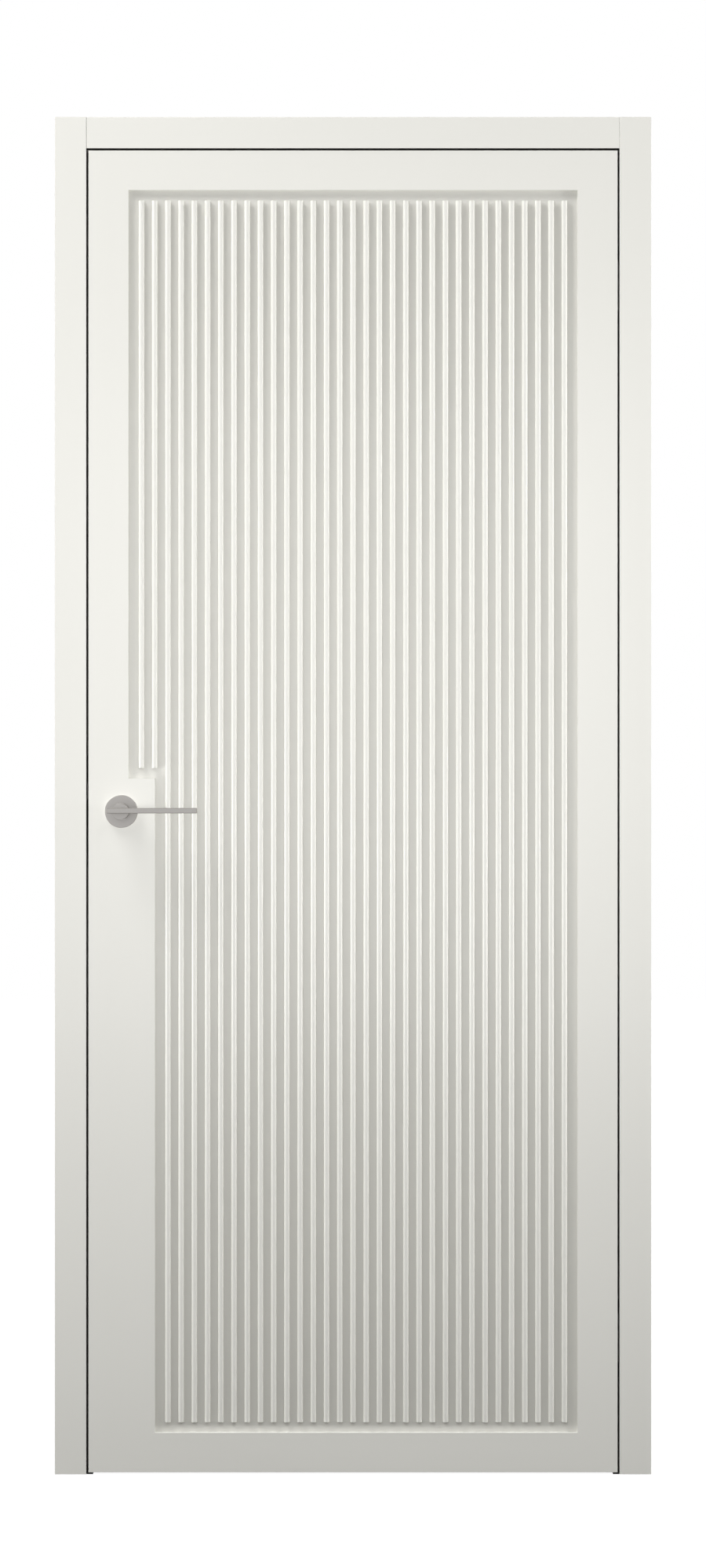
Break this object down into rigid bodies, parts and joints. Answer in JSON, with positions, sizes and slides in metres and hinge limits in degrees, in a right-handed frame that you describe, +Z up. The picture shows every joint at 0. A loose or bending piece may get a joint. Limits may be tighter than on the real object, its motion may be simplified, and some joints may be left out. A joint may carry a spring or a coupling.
{
  "type": "interior door",
  "caption": "Off-white flush interior door with an upright ribbed panel, concealed hinges, slim lever handle, frame and flat casings.",
  "frame": {"origin": "on the floor, on the outer face of the hinge-side jamb, at the middle of its depth", "axes": "+X along the wall past the hinge side, +Y through the wall away from the ribbed front shown in the picture, +Z up"},
  "size_m": [0.902, 0.178, 2.054],
  "materials": {
    "frame_paint": "satin off-white paint on board",
    "leaf_paint": "satin off-white paint on milled fibreboard",
    "leaf_timber": "satin off-white paint on the edges",
    "seal_rubber": "matt black",
    "satin_nickel": "satin nickel",
    "hinge_metal": "satin die-cast zinc alloy",
    "zinc_steel": "zinc-plated steel"
  },
  "bodies": {
    "frame": {"hinge_jamb": "frame_paint", "latch_jamb": "frame_paint", "head_jamb": "frame_paint", "hinge_stop": "frame_paint", "latch_stop": "frame_paint", "head_stop": "frame_paint", "hinge_casing_front": "frame_paint", "latch_casing_front": "frame_paint", "head_casing_front": "frame_paint", "hinge_casing_back": "frame_paint", "latch_casing_back": "frame_paint", "head_casing_back": "frame_paint", "hinge_seal": "seal_rubber", "latch_seal": "seal_rubber", "head_seal": "seal_rubber", "strike_plate": "satin_nickel", "hinge_case_frame_upper": "hinge_metal", "hinge_case_frame_lower": "hinge_metal"},
    "hinge_arms": {"hinge_arms_upper": "hinge_metal", "hinge_arms_lower": "hinge_metal"},
    "leaf": {"leaf_front_skin": "leaf_paint", "leaf_back_skin": "leaf_paint", "leaf_hinge_stile": "leaf_timber", "leaf_lock_stile": "leaf_timber", "leaf_top_rail": "leaf_timber", "leaf_bottom_rail": "leaf_timber", "leaf_core": "leaf_timber", "lock_forend": "satin_nickel", "lock_case": "zinc_steel", "latch_bolt": "satin_nickel", "rose_front": "satin_nickel", "rose_back": "satin_nickel", "hinge_case_leaf_upper": "hinge_metal", "hinge_case_leaf_lower": "hinge_metal"},
    "handle": {"neck_front": "satin_nickel", "neck_back": "satin_nickel", "lever_front": "satin_nickel", "lever_back": "satin_nickel", "spindle": "zinc_steel"}
  },
  "joints": [
    {"name": "leaf_swing", "type": "hinge", "parent": "frame", "child": "leaf", "pos_m": [-0.0415, -0.063, 1.003], "axis": [0, 0, 1], "range_deg": [0, 110]},
    {"name": "arm_fold", "type": "hinge", "parent": "frame", "child": "hinge_arms", "pos_m": [-0.0415, -0.063, 1.003], "axis": [0, 0, 1], "range_deg": [0, 55]},
    {"name": "lever_turn", "type": "hinge", "parent": "leaf", "child": "handle", "pos_m": [-0.793, -0.062, 1.003], "axis": [0, 1, 0], "range_deg": [0, 40], "stiffness_Nm_per_rad": 1.5, "springref_deg": -34.38}
  ],
  "couplings": [
    {"joint": "arm_fold", "follows": "leaf_swing", "ratio": 0.5}
  ]
}
